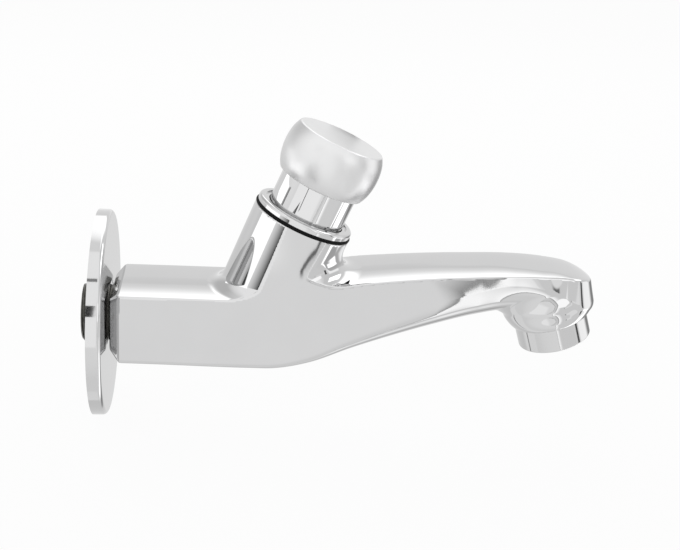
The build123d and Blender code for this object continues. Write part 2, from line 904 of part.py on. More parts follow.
def button_cap():
    """The barrel-shaped button: open below for the sleeve, with a bored boss for the spindle's tip."""
    skirt = cap_skirt_height
    top = cap_top_height
    roof = top - cap_roof
    edge = top - cap_shoulder_drop
    seat = sleeve_radius + screw_gap
    room = sleeve_radius - sleeve_wall
    bore = spindle_tip_radius + running_gap
    bore_end = button_seat_height + spindle_tip_height + cap_bore_play
    clip_room = cap_clip_radius + cap_clip_play
    clip_start = button_seat_height + cap_clip_rise - cap_clip_play
    clip_end = clip_start + cap_clip_thickness + 2 * cap_clip_play
    barrel = [(cap_skirt_radius + wider, skirt + share * cap_height) for wider, share in cap_outline]
    shoulder = (cap_shoulder_radius, edge)
    return turned(
        button_place,
        (seat, skirt),
        curve_through(barrel + [shoulder]),
        arc_through(shoulder, (cap_edge_radius, top - cap_edge_drop), (cap_top_radius, top)),
        (0, top),
        (0, bore_end),
        (bore, bore_end),
        (bore, clip_end),
        (clip_room, clip_end),
        (clip_room, clip_start),
        (bore, clip_start),
        (bore, button_seat_height + slip_gap),
        (cap_boss_radius, button_seat_height + slip_gap),
        (cap_boss_radius, roof),
        (room, roof),
        (room, skirt + cap_seat_depth),
        (seat, skirt + cap_seat_depth),
    )


def aerator_shell():
    """The chromed shell of the aerator, with its lip below and its thread in the outlet above."""
    outer = aerator_radius
    edge = aerator_edge
    return turned(
        outlet_place,
        (shell_lip_radius, 0),
        rounded_corner((outer - edge, 0), (outer, 0), (outer, edge)),
        (outer, aerator_height),
        (outlet_thread_radius, aerator_height),
        (outlet_thread_radius, shell_top),
        (shell_bore_radius, shell_top),
        (shell_bore_radius, shell_lip_height),
        (shell_lip_radius, shell_lip_height),
    )


def aerator_gasket():
    """The flat ring between the aerator and the step in the outlet."""
    return ring(outlet_place, outlet_room_radius, outlet_thread_radius, shell_top, outlet_bore_length)


def aerator_screen():
    """The fine screen that shows in the aerator's mouth."""
    outer = shell_bore_radius - screen_play
    disc = ring(Location(), 0, outer, shell_lip_height, shell_lip_height + screen_thickness)
    holes = [Pos(0, 0, 0)]
    for circle in range(1, screen_rings + 1):
        holes += list(PolarLocations(circle * screen_pitch, 6 * circle))
    drill = Pos(0, 0, shell_lip_height) * Cylinder(screen_hole_radius, 3 * screen_thickness)
    disc -= [hole * drill for hole in holes]
    return outlet_place * disc


def aerator_insert():
    """The plastic jet body: a drilled disc over an open mixing room."""
    outer = shell_bore_radius - screen_play
    start = shell_lip_height + screen_thickness
    cup = turned(
        Location(),
        (outer - insert_wall, start),
        (outer, start),
        (outer, insert_top),
        (0, insert_top),
        (0, insert_top - insert_disc),
        (outer - insert_wall, insert_top - insert_disc),
    )
    for place in PolarLocations(insert_jet_circle, insert_jets):
        cup -= Pos(0, 0, insert_top) * place * Cylinder(insert_jet_radius, 3 * insert_disc)
    return outlet_place * cup


def flow_regulator():
    """The ring above the jets, with a seat for the soft throttle ring and a ring of holes under it."""
    outer = shell_bore_radius - screen_play
    start = insert_top
    groove = regulator_groove_radius
    half = regulator_ring_radius + regulator_ring_play
    floor = start + regulator_floor
    disc = turned(
        Location(),
        (0, start),
        (outer, start),
        (outer, start + regulator_height),
        (groove + half, start + regulator_height),
        (groove + half, floor),
        (groove - half, floor),
        (groove - half, start + regulator_height),
        (0, start + regulator_height),
    )
    for place in PolarLocations(groove, regulator_holes):
        disc -= Pos(0, 0, start) * place * Cylinder(regulator_hole_radius, 3 * regulator_floor)
    return outlet_place * disc


def regulator_o_ring():
    """The soft throttle ring, which swells over its holes as the pressure rises."""
    height = insert_top + regulator_floor + regulator_ring_radius
    return outlet_place * Pos(0, 0, height) * Torus(regulator_groove_radius, regulator_ring_radius)


pieces = [
    tap_body,
    wall_flange,
    inlet_strainer,
    strainer_ring,
    cartridge_body,
    cartridge_gasket,
    nose_o_ring,
    cartridge_cover,
    spindle_o_ring,
    spindle,
    piston,
    piston_lip_seal,
    metering_jet,
    piston_clip,
    washer_holder,
    valve_washer,
    holder_nut,
    cap_clip,
    return_spring,
    housing_o_ring,
    bezel_nut,
    push_sleeve,
    button_cap,
    aerator_shell,
    aerator_gasket,
    aerator_screen,
    aerator_insert,
    flow_regulator,
    regulator_o_ring,
]

os.makedirs("parts", exist_ok=True)
for make in pieces:
    export_step(make(), f"parts/{make.__name__}.step")
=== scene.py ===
# %% [markdown]
# # A push-button bib tap in polished chrome
# The tap comes out of the CAD program as separate solids in one frame: the casting, the flange on the
# wall, the button with its sleeve, the aerator and everything inside. Here it gets its looks. We load
# the solids first.

from math import cos, pi, radians, sin, tau

import bpy
import numpy as np
from mathutils import Matrix, Vector


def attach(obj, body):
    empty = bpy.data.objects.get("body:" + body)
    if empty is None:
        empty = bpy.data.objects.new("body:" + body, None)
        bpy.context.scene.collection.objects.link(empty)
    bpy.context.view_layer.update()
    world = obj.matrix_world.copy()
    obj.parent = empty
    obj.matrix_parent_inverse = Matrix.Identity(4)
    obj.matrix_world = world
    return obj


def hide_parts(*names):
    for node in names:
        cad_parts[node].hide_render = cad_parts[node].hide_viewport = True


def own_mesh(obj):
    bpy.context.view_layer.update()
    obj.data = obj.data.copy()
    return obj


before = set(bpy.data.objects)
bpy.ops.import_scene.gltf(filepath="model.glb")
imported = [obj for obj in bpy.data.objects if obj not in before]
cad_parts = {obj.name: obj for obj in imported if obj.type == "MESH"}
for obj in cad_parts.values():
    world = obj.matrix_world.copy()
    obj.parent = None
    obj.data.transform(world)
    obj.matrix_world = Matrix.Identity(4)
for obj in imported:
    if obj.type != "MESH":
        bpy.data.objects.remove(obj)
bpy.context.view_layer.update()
MM = 0.001

# %% [markdown]
# Three axes carry nearly every round part of the tap: the tail's axis, which is the world's X, the
# button's axis, which leans out from the wall, and the outlet's axis, which leans back towards it.
# Each is kept as an origin, a direction and one side direction, so a turned piece is drawn as radius
# and height and then put on its axis. All sizes below are in millimetres, and only the finished mesh
# is scaled to metres.

# %% The three axes
button_lean = radians(22.2)
button_foot = 53.8
outlet_lean = radians(18.0)
outlet_foot = (158.6, -4.7)

TAIL = (Vector((0, 0, 0)), Vector((1, 0, 0)), Vector((0, 1, 0)))
BUTTON = (
    Vector((button_foot, 0, 0)),
    Vector((sin(button_lean), 0, cos(button_lean))),
    Vector((cos(button_lean), 0, -sin(button_lean))),
)
OUTLET = (
    Vector((outlet_foot[0], 0, outlet_foot[1])),
    Vector((-sin(outlet_lean), 0, cos(outlet_lean))),
    Vector((cos(outlet_lean), 0, sin(outlet_lean))),
)
print("button axis", [round(v, 3) for v in BUTTON[1]], "outlet axis", [round(v, 3) for v in OUTLET[1]])

# %% [markdown]
# ## A small language for shaders
# A shader is a tree of nodes, and sums in it take many nodes. Wrapping one output socket in a class
# with overloaded operators lets us write `0.05 + 0.03 * smudge` and get the Math nodes for it. Every
# other node comes from one method that takes the node's type, its settings and what goes into it.


# %% Sockets that can be added up
class Wire:
    def __init__(self, tree, socket):
        self.tree, self.socket = tree, socket

    def math(self, operation, first, second):
        return self.tree.node("ShaderNodeMath", {"operation": operation}, {0: first, 1: second})

    def __add__(self, other):
        return self.math("ADD", self, other)

    def __radd__(self, other):
        return self.math("ADD", other, self)

    def __sub__(self, other):
        return self.math("SUBTRACT", self, other)

    def __rsub__(self, other):
        return self.math("SUBTRACT", other, self)

    def __mul__(self, other):
        return self.math("MULTIPLY", self, other)

    def __rmul__(self, other):
        return self.math("MULTIPLY", other, self)

    def power(self, exponent):
        return self.math("POWER", self, exponent)

    def above(self, level):
        return self.math("GREATER_THAN", self, level)

    def largest(self, other):
        return self.math("MAXIMUM", self, other)

    def clamped(self):
        return self.tree.node("ShaderNodeClamp", None, {0: self})


class Shader:
    def __init__(self, owner):
        owner.use_nodes = True
        self.nodes, self.links = owner.node_tree.nodes, owner.node_tree.links
        self.nodes.clear()

    def node(self, kind, settings=None, inputs=None, out=0):
        made = self.nodes.new(kind)
        for key, value in (settings or {}).items():
            setattr(made, key, value)
        for key, value in (inputs or {}).items():
            if isinstance(value, Wire):
                self.links.new(value.socket, made.inputs[key])
            else:
                made.inputs[key].default_value = value
        return Wire(self, made.outputs[out])

    def mix(self, factor, first, second):
        settings = {"data_type": "RGBA"}
        inputs = {0: factor, 6: first, 7: second}
        return self.node("ShaderNodeMix", settings, inputs, out=2)

    def spots(self, size, detail=2.0, stretch=(1, 1, 1)):
        """Noise whose spots are about `size` millimetres across, in the object's own coordinates."""
        place = self.node("ShaderNodeTexCoord", out="Object")
        place = self.node("ShaderNodeVectorMath", {"operation": "MULTIPLY"}, {0: place, 1: stretch})
        return self.noise(place, size, detail)

    def noise(self, place, size, detail):
        inputs = {"Vector": place, "Scale": 1 / (size * MM), "Detail": detail}
        return self.node("ShaderNodeTexNoise", None, inputs)

    def rings(self, place, width, drift, detail):
        """Noise that runs round an axis in rings about `width` millimetres wide."""
        height, radius, angle = self.along(place)
        ring = self.node("ShaderNodeCombineXYZ", None, {0: height, 1: radius, 2: drift * angle})
        return self.noise(ring, width, detail)

    def along(self, place):
        """A point's height, radius and angle on one of the three axes, in metres and radians."""
        origin, axis, side = place
        point = self.node("ShaderNodeTexCoord", out="Object")
        point = self.node("ShaderNodeVectorMath", {"operation": "SUBTRACT"}, {0: point, 1: origin * MM})
        across = axis.cross(side)
        parts = [
            self.node("ShaderNodeVectorMath", {"operation": "DOT_PRODUCT"}, {0: point, 1: way}, out="Value")
            for way in (axis, side, across)
        ]
        angle = self.node("ShaderNodeMath", {"operation": "ARCTAN2"}, {0: parts[2], 1: parts[1]})
        radius = (parts[1] * parts[1] + parts[2] * parts[2]).power(0.5)
        return parts[0], radius, angle

    def bump(self, height, depth):
        """A Normal from a height of 0 to 1 that stands for `depth` millimetres."""
        inputs = {"Height": height, "Distance": depth * MM, "Strength": 1.0}
        return self.node("ShaderNodeBump", None, inputs, out="Normal")

    def output(self, shader, kind="ShaderNodeOutputMaterial"):
        self.links.new(shader.socket, self.nodes.new(kind).inputs["Surface"])

    def surface(self, **inputs):
        names = {key.replace("_", " "): value for key, value in inputs.items()}
        self.output(self.node("ShaderNodeBsdfPrincipled", None, names, out="BSDF"))


def material(name):
    made = bpy.data.materials.new(name)
    return made, Shader(made)


print(len(bpy.data.materials), "materials came with the solids")

# %% [markdown]
# ## Polished chrome
# Chrome plate mirrors its surroundings and gives back about three fifths of their light. What tells it
# from a perfect mirror is small: the polishing wheel leaves waves a few micrometres deep, and fingers
# and water leave soft patches a little less sharp. So the colour is nearly even, the roughness drifts
# between two low values, and a bump of wide shallow waves bends the reflections slightly. The thread
# and the neck behind it are darker and duller: painted shade for the narrow gap between the flange and
# the body, and two clamped ramps find them.

# %% The casting's chrome
chrome, tree = material("polished_chrome_plate")
patches = tree.spots(14, detail=3.0)
haze = tree.spots(3.0, detail=4.0)
waves = tree.spots(11, detail=1.0)
from_wall, from_middle, _ = tree.along(TAIL)
neck_length, neck_radius, neck_fade, rim_fade = 7.0 * MM, 12.5 * MM, 0.625 * MM, 0.4 * MM
# painted shade: a mask for the neck and thread in the narrow gap between flange and body
neck_shade = ((neck_length - from_wall) * (1 / neck_fade)).clamped()
neck_shade = neck_shade * ((neck_radius - from_middle) * (1 / rim_fade)).clamped()
plate = tree.mix(patches, (0.605, 0.605, 0.608, 1), (0.635, 0.635, 0.637, 1))
tree.surface(
    Metallic=1.0,
    # painted shade: the masked neck gets a dark colour that stands in for the shadow in the gap
    Base_Color=tree.mix(neck_shade, plate, (0.10, 0.098, 0.09, 1)),
    Roughness=0.012 + 0.018 * patches + 0.012 * haze + 0.3 * neck_shade,
    Normal=tree.bump(waves, 0.002),
)
print("chrome:", len(tree.nodes), "nodes")

# %% [markdown]
# Turned chrome parts were polished on the lathe before plating, so their faint waves run round them.
# The texture is made from the radius and the height on the part's own axis: rings, no spots.


# %% Chrome for the turned parts
def lathe_chrome(name, place, ring_width, low, high, depth, base=(0.63, 0.63, 0.632)):
    made, tree = material(name)
    rings = tree.rings(place, ring_width, 0.0003, detail=2.0)
    patches = tree.spots(9, detail=3.0)
    darker = tuple(0.96 * tone for tone in base)
    tree.surface(
        Metallic=1.0,
        Base_Color=tree.mix(patches, (*darker, 1), (*base, 1)),
        Roughness=low + (high - low) * (0.6 * patches + 0.4 * rings),
        Normal=tree.bump(rings, depth),
    )
    return made


flange_chrome = lathe_chrome("flange_chrome", TAIL, 2.6, 0.04, 0.08, 0.0008)
button_chrome = lathe_chrome("sleeve_chrome", BUTTON, 1.6, 0.015, 0.04, 0.0006, (0.66, 0.66, 0.662))
bezel_chrome = lathe_chrome("bezel_chrome", BUTTON, 0.8, 0.05, 0.10, 0.0008)
outlet_chrome = lathe_chrome("aerator_chrome", OUTLET, 1.2, 0.04, 0.09, 0.001)
print("turned chrome: 4 materials")

# %% [markdown]
# The button's cap is softer than the rest: its reflections spread into wide vertical bands. It has the
# same plate over a finer blasted ground, so it gets a much higher roughness and a fine grain.

# %% The cap's satin chrome
satin, tree = material("satin_cap_chrome")
grain = tree.spots(0.35, detail=2.0)
patches = tree.spots(8, detail=3.0)
tree.surface(
    Metallic=1.0,
    Base_Color=tree.mix(patches, (0.70, 0.70, 0.702, 1), (0.735, 0.735, 0.737, 1)),
    Roughness=0.32 + 0.05 * patches + 0.03 * grain,
    Normal=tree.bump(grain, 0.0006),
)
print("cap:", len(tree.nodes), "nodes")

# %% [markdown]
# ## What is inside
# The valve is turned brass, the spindle, clips, spring and sieves are stainless steel, the seals are
# black rubber, and the aerator's jet body is white moulded plastic. Each finish follows how the piece
# is made: cutter rings round the brass, drawn lines along the steel, a fine mould texture on the
# rubber and the plastic.


# %% Brass, steel, rubber and plastic
def turned_brass(name, place):
    made, tree = material(name)
    rings = tree.rings(place, 0.35, 0.0001, detail=1.0)
    stain = tree.spots(4, detail=4.0)
    tree.surface(
        Metallic=1.0,
        Base_Color=tree.mix(stain, (0.50, 0.33, 0.12, 1), (0.68, 0.49, 0.21, 1)),
        Roughness=0.22 + 0.12 * stain + 0.08 * rings,
        Normal=tree.bump(rings, 0.006),
    )
    return made


brass = turned_brass("turned_brass", BUTTON)

steel, tree = material("drawn_steel")
lines = tree.spots(0.5, detail=2.0, stretch=(1.0, 1.0, 0.15))
dull = tree.spots(3, detail=3.0)
tree.surface(
    Metallic=1.0,
    Base_Color=tree.mix(dull, (0.40, 0.40, 0.39, 1), (0.54, 0.53, 0.52, 1)),
    Roughness=0.22 + 0.12 * dull + 0.06 * lines,
    Normal=tree.bump(lines, 0.004),
)

rubber, tree = material("black_seal_rubber")
bloom = tree.spots(2.5, detail=4.0)
pores = tree.spots(0.18, detail=2.0)
tree.surface(
    Base_Color=tree.mix(bloom, (0.003, 0.003, 0.0032, 1), (0.009, 0.009, 0.0095, 1)),
    Roughness=0.52 + 0.2 * bloom,
    Specular_IOR_Level=0.1,
    Normal=tree.bump(pores, 0.012),
)

plastic, tree = material("white_jet_plastic")
flow = tree.spots(5, detail=2.0)
mould = tree.spots(0.25, detail=2.0)
tree.surface(
    Base_Color=tree.mix(flow, (0.70, 0.70, 0.67, 1), (0.78, 0.78, 0.76, 1)),
    Roughness=0.38 + 0.14 * flow,
    Normal=tree.bump(mould, 0.006),
)
print("inner finishes: brass, steel, rubber, plastic")

# %% [markdown]
# ## Turned pieces
# A round piece is an outline of radius and height, turned about its axis. Mirror finishes show every
# wrong normal, and Blender's averaged ones tilt at the end of a flat face beside a rounding. So each
# ring takes its normal from the outline itself: the longer of two neighbouring segments counts far
# more, and where the outline bends by more than 30 degrees the edge stays sharp.


# %% Outlines
def arc(start, middle, end, steps=10):
    """Points of the circle through three points, after the first."""
    (ax, ay), (bx, by), (cx, cy) = start, middle, end
    d = 2 * (ax * (by - cy) + bx * (cy - ay) + cx * (ay - by))
    ux = ((ax**2 + ay**2) * (by - cy) + (bx**2 + by**2) * (cy - ay) + (cx**2 + cy**2) * (ay - by)) / d
    uy = ((ax**2 + ay**2) * (cx - bx) + (bx**2 + by**2) * (ax - cx) + (cx**2 + cy**2) * (bx - ax)) / d
    first, mid, last = (np.arctan2(y - uy, x - ux) for x, y in (start, middle, end))
    sweep = (last - first) % tau
    if (mid - first) % tau > sweep:
        sweep -= tau
    radius = np.hypot(ax - ux, ay - uy)
    angles = first + sweep * np.linspace(0, 1, steps + 1)[1:]
    return [(ux + radius * cos(a), uy + radius * sin(a)) for a in angles]


def corner(start, point, end, steps=8):
    """A quarter of an ellipse that rounds a square corner off, after the first point."""
    turns = np.linspace(0, pi / 2, steps + 1)[1:]
    return [
        tuple(p + (s - p) * (1 - sin(t)) + (e - p) * (1 - cos(t)) for s, p, e in zip(start, point, end))
        for t in turns
    ]


def smooth_curve(points, steps=10):
    """A cubic spline through points, spaced by their distances, with free ends."""
    points = np.array(points, float)
    at = np.concatenate([[0], np.cumsum(np.linalg.norm(np.diff(points, axis=0), axis=1))])
    gap = np.diff(at)
    size = len(points)
    system, right = np.eye(size), np.zeros((size, 2))
    for i in range(1, size - 1):
        system[i, i - 1 : i + 2] = gap[i - 1], 2 * (gap[i - 1] + gap[i]), gap[i]
        right[i] = 6 * ((points[i + 1] - points[i]) / gap[i] - (points[i] - points[i - 1]) / gap[i - 1])
    bend = np.linalg.solve(system, right)
    out = []
    for i in range(size - 1):
        for t in np.linspace(0, 1, steps + 1)[1:]:
            a, b, h = 1 - t, t, gap[i]
            out.append(
                tuple(
                    a * points[i]
                    + b * points[i + 1]
                    + h * h / 6 * ((a**3 - a) * bend[i] + (b**3 - b) * bend[i + 1])
                )
            )
    return out


quarter = corner((1.4, 0), (1.4, 1.4), (0, 1.4), 3)
print("a quarter turn of 1.4 mm:", [tuple(round(v, 2) for v in point) for point in quarter])

# %% [markdown]
# A mesh is kept as three lists until it is finished: points, faces and one normal for each corner of
# each face. Two of them can then be joined without losing their normals.


# %% From outline to mesh
POINT = 1e-6  # a ring with a smaller radius is one point on the axis


def outline_normals(outline, closed):
    points = np.array(outline, float)
    step = (np.roll(points, -1, axis=0) if closed else np.vstack([points[1:], points[-1:]])) - points
    length = np.linalg.norm(step, axis=1)
    length[length == 0] = 1e-9
    way = np.stack([step[:, 1], -step[:, 0]], axis=1) / length[:, None]
    begin, end = way.copy(), way.copy()
    count = len(points)
    for i in range(count if closed else count - 1):
        for other, mine in ((i - 1, begin), (i + 1, end)):
            if closed:
                other %= count
            elif other < 0 or other >= count - 1:
                continue
            if way[i] @ way[other] > cos(radians(30)):
                both = way[i] * length[i] ** 3 + way[other] * length[other] ** 3
                mine[i] = both / np.linalg.norm(both)
    return begin, end


def turn(outline, place, closed=True, turns=160):
    """Points, faces and corner normals of an outline of (radius, height) turned about a place's axis."""
    outline = [(max(float(r), 0.0), float(h)) for r, h in outline]
    if closed:
        area = sum(a[0] * b[1] - b[0] * a[1] for a, b in zip(outline, outline[1:] + outline[:1]))
        if area < 0:
            outline = outline[::-1]
    begin, end = outline_normals(outline, closed)
    origin, axis, side = (np.array(v) for v in place)
    across = np.cross(axis, side)
    angles = np.arange(turns) * tau / turns
    spokes = np.cos(angles)[:, None] * side + np.sin(angles)[:, None] * across
    points, starts = [], []
    for radius, height in outline:
        starts.append(len(points))
        rows = (origin + height * axis)[None, :] + radius * (spokes if radius > POINT else spokes[:1])
        points.extend(rows.tolist())
    faces, normals = [], []
    for i in range(len(outline) if closed else len(outline) - 1):
        k = (i + 1) % len(outline)
        low, high = outline[i][0] > POINT, outline[k][0] > POINT
        if not low and not high:
            continue
        first = begin[i][0] * spokes + begin[i][1] * axis
        last = end[i][0] * spokes + end[i][1] * axis
        for j in range(turns):
            n = (j + 1) % turns
            if low and high:
                faces.append((starts[i] + j, starts[i] + n, starts[k] + n, starts[k] + j))
                normals += [first[j], first[n], last[n], last[j]]
            elif low:
                faces.append((starts[i] + j, starts[i] + n, starts[k]))
                normals += [first[j], first[n], last[j]]
            else:
                faces.append((starts[i], starts[k] + n, starts[k] + j))
                normals += [first[j], last[n], last[j]]
    return points, faces, normals


def joined(*meshes):
    points, faces, normals = [], [], []
    for some, more, last in meshes:
        shift = len(points)
        points += list(some)
        faces += [tuple(i + shift for i in face) for face in more]
        normals += list(last)
    return points, faces, normals


def linked(name, data):
    """An object that shows the data, put into the scene."""
    made = bpy.data.objects.new(name, data)
    bpy.context.scene.collection.objects.link(made)
    return made


def piece(name, mesh, finish, body, *nodes, slot="polished_chrome"):
    """Makes the object in metres, gives it its finish and lets it stand for the CAD nodes."""
    points, faces, normals = mesh
    data = bpy.data.meshes.new(name)
    data.from_pydata((np.array(points) * MM).tolist(), [], faces)
    data.normals_split_custom_set(np.array(normals).tolist())
    data.materials.append(finish)
    made = linked(name, data)
    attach(made, body)
    if nodes:
        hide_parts(*nodes)
    print(f"{name}: {len(points)} points, {len(faces)} faces")
    return made


# %% [markdown]
# ## The wall flange
# A dish pressed from sheet: 69.6 mm across, 1.2 mm thick, with a small rounding at its front edge and
# a hole for the tail. The outline is the sheet's section. The rim leans in by a hair towards the front,
# as a pressed rim has to, or it would not leave the tool.

# %% Flange
flange_outline = [(33.6, 0), (34.79, 0), (34.74, 3.2)]
flange_outline += corner((34.74, 3.2), (34.69, 4.6), (33.3, 4.6))
flange_outline += [(10.7975, 4.6), (10.7975, 3.4), (33.0, 3.4)]
piece("flange_dish", turn(flange_outline, TAIL, turns=256), flange_chrome, "flange", "wall_flange")

# %% [markdown]
# ## Button, sleeve and bezel
# From the top: the barrel-shaped cap with its flat end, the plain sleeve it is screwed to, the bezel
# with a recessed lip that the sleeve runs through, and the rubber ring that shows as a black line
# below it. They share the button's axis, so each is one outline.

# %% Cap
barrel = [(14.75, 52.0), (15.75, 54.2), (16.45, 57.1), (16.7, 60.1)]
barrel += [(16.5, 63.2), (15.75, 66.2), (14.95, 67.9)]
cap_outline = [(13.15, 51.7), (14.1, 51.7)] + arc((14.1, 51.7), (14.5, 51.75), (14.75, 52.0), 5)
cap_outline += smooth_curve(barrel)
cap_outline += arc((14.95, 67.9), (14.7, 68.25), (14.2, 68.4), 6) + [(0, 68.4), (0, 66.3), (11.3, 66.3)]
cap_outline += [(11.3, 55.0), (13.15, 55.0)]
piece("cap_shell", turn(cap_outline, BUTTON, turns=224), satin, "button", "button_cap", slot="soft_chrome")

# %% Sleeve, bezel and the black ring
sleeve_outline = [(11.3, 33.0), (13.1, 33.0), (13.1, 54.95), (11.3, 54.95)]
piece("sleeve_tube", turn(sleeve_outline, BUTTON), button_chrome, "button", "push_sleeve")

bezel_outline = [(13.4, 25.0), (14.25, 25.0), (14.25, 38.8), (16.7, 38.8), (16.75, 39.9)]
bezel_outline += corner((16.75, 39.9), (16.75, 40.9), (15.75, 40.9))
bezel_outline += [(14.7, 40.9), (14.55, 40.3), (13.4, 40.3)]
piece("bezel_ring", turn(bezel_outline, BUTTON, turns=224), bezel_chrome, "tap", "bezel_nut")

seal_outline = [(14.3, 37.7), (16.5, 37.45)] + arc((16.5, 37.45), (17.12, 38.15), (16.5, 38.85), 16)
seal_outline += [(14.3, 38.8)]
piece("seal_line", turn(seal_outline, BUTTON), rubber, "tap", "housing_o_ring", slot="black_rubber")

# %% Aerator shell
boss_rim = 7.9
shell_outline = [(10.4, -0.5), (12.1, -0.5)] + corner((12.1, -0.5), (12.6, -0.5), (12.6, 0))
shell_outline += [(12.6, boss_rim), (12.0, boss_rim), (12.0, 13.0), (11.2, 13.0), (11.2, 0.9), (10.4, 0.9)]
piece("aerator_ring", turn(shell_outline, OUTLET, turns=200), outlet_chrome, "tap", "aerator_shell")

# %% [markdown]
# ## The return spring
# The spring is the one piece that changes its length. It stands on the partition of the cartridge and
# carries the piston, three turns of round wire. It is wound here again, as a mesh of its own.


# %% Spring
def coil(place, radius, wire, low, high, turns, around=20, along=48):
    """Points, faces and corner normals of a round wire wound up a place's axis."""
    origin, axis, side = (np.array(v) for v in place)
    across = np.cross(axis, side)
    count = turns * along
    points, skins, ways = [], [], []
    for i in range(count + 1):
        angle = tau * i / along
        spoke = cos(angle) * side + sin(angle) * across
        way = tau * radius * (cos(angle) * across - sin(angle) * side) + (high - low) / turns * axis
        way = way / np.linalg.norm(way)
        rim = np.cross(way, spoke)
        centre = origin + radius * spoke + (low + (high - low) * i / count) * axis
        ways.append(way)
        for j in range(around):
            skin = cos(tau * j / around) * spoke + sin(tau * j / around) * rim
            skins.append(skin)
            points.append(centre + wire / 2 * skin)
    faces, normals = [], []
    for i in range(count):
        for j in range(around):
            k = (j + 1) % around
            face = (i * around + j, i * around + k, (i + 1) * around + k, (i + 1) * around + j)
            faces.append(face)
            normals += [skins[n] for n in face]
    faces += [tuple(range(around))[::-1], tuple(range(count * around, (count + 1) * around))]
    normals += [-ways[0]] * around + [ways[-1]] * around
    return points, faces, normals


partition, piston_foot, press = 19.5, 31.5, 7.5
spring_radius, spring_turns, wire, end_gap = 6.2, 3, 1.1, 0.05
coil_start, coil_end = partition + end_gap + wire / 2, piston_foot - end_gap - wire / 2
spring_mesh = coil(BUTTON, spring_radius, wire, coil_start, coil_end, spring_turns)
spring = piece("spring_coil", spring_mesh, steel, "tap", "return_spring", slot="stainless_steel")
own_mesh(spring)

# %% [markdown]
# ## The casting's skin as one field
# The body is a squared bar that bends into a tapering spout, with a round housing growing out of its
# top and a round bowl under its nose, and all of them flow into each other. Blended forms like these
# are hard to patch together from faces, but easy to say as a field: a function that is negative inside
# the metal and positive outside. Each form is one function, a rounded minimum joins two of them, and
# the surface is where the field is zero. First the bar: its top, underside and half width at stations
# along X, with a smooth curve through each column.

# %% Stations of body and spout
stations = np.array(
    [
        # x, top, underside, half width, flare, rounding below
        (0.0, 12.2, -12.4, 16.0, 0.0, 2.0),
        (24.0, 12.1, -12.75, 16.0, 0.0, 2.0),
        (40.0, 12.0, -13.2, 16.0, 0.0, 2.2),
        (52.0, 12.0, -13.5, 15.85, 0.0, 2.4),
        (60.0, 12.4, -13.5, 15.75, 0.0, 2.6),
        (72.0, 15.0, -11.6, 15.25, 0.0, 3.6),
        (86.0, 17.9, -6.9, 14.5, 0.0, 5.4),
        (100.0, 19.5, -2.8, 13.85, 0.0, 7.4),
        (114.0, 20.6, 1.0, 13.45, 0.2, 9.4),
        (128.0, 21.3, 4.4, 13.1, 0.4, 11.0),
        (140.0, 21.7, 6.3, 12.75, 0.8, 12.0),
        (150.0, 21.5, 6.8, 12.1, 2.0, 11.0),
        (158.0, 20.9, 6.6, 10.9, 3.0, 7.5),
        (164.0, 19.8, 6.2, 10.9, 3.2, 4.8),
        (168.0, 18.4, 6.2, 10.9, 3.2, 4.6),
        (172.0, 16.2, 6.4, 10.9, 3.2, 4.4),
    ]
)
TOP, UNDERSIDE, HALF_WIDTH, FLARE, LOW_ROUNDING = range(1, 6)
station_gaps = np.diff(stations[:, 0])
station_slopes = np.diff(stations, axis=0)[:, 1:] / station_gaps[:, None]
tangents = np.vstack([station_slopes[:1], station_slopes[:-1], station_slopes[-1:]])
tangents[1:-1] = (
    station_gaps[1:, None] * station_slopes[:-1] + station_gaps[:-1, None] * station_slopes[1:]
) / (station_gaps[1:] + station_gaps[:-1])[:, None]


def station(x, column):
    """Value and slope of one column of the stations at x."""
    at = np.clip(x, stations[0, 0], stations[-1, 0])
    i = np.clip(np.searchsorted(stations[:, 0], at) - 1, 0, len(station_gaps) - 1)
    h = station_gaps[i]
    t = (at - stations[i, 0]) / h
    a, b = stations[i, column], stations[i + 1, column]
    p, q = tangents[i, column - 1] * h, tangents[i + 1, column - 1] * h
    value = (2 * t**3 - 3 * t**2 + 1) * a + (t**3 - 2 * t**2 + t) * p
    value = value + (3 * t**2 - 2 * t**3) * b + (t**3 - t**2) * q
    slope = ((6 * t**2 - 6 * t) * (a - b) + (3 * t**2 - 4 * t + 1) * p + (3 * t**2 - 2 * t) * q) / h
    return value, slope


print("top of the spout at its highest:", round(float(station(np.array(140.0), TOP)[0]), 2), "mm")

# %% [markdown]
# Two fields meet in an edge or join in a hollow. A plain maximum or minimum would leave it sharp, so
# both get a radius, as a file or a fillet does.


# %% Rounded edges and hollows
def eased(value, start, end):
    """0 up to start, 1 from end on, and a smooth run between them."""
    t = np.clip((value - start) / (end - start), 0, 1)
    return t * t * (3 - 2 * t)


def meet(a, b, r):
    """What is inside both, with its edge rounded to r."""
    return np.minimum(-r, np.maximum(a, b)) + np.hypot(np.maximum(a + r, 0), np.maximum(b + r, 0))


def join(a, b, r):
    """What is inside either, with the hollow between them filled to r."""
    return np.maximum(r, np.minimum(a, b)) - np.hypot(np.maximum(r - a, 0), np.maximum(r - b, 0))


print("a hollow of 4 mm fills its corner by", round(-float(join(0.0, 0.0, 4.0)), 2), "mm")



# %% The squared bar and spout
nose_x, crown = 157.6, 0.4
bar_start, rim_height = 5.2, 37.7


def flank(x, y, z):
    """The two sides, which go round the nose in plan and lean out a little there."""
    half, half_slope = station(np.minimum(x, nose_x), HALF_WIDTH)
    top, under = station(x, TOP)[0], station(x, UNDERSIDE)[0]
    lean = station(x, FLARE)[0] / (top - under)
    plan = np.hypot(np.maximum(x - nose_x, 0), y)
    out = plan - half - lean * (top - z)
    return out / np.sqrt(1 + lean**2 + half_slope**2 * (x < nose_x)), plan / half


print("the bar is", round(2 * float(station(30.0, HALF_WIDTH)[0]), 1), "mm wide behind the housing")

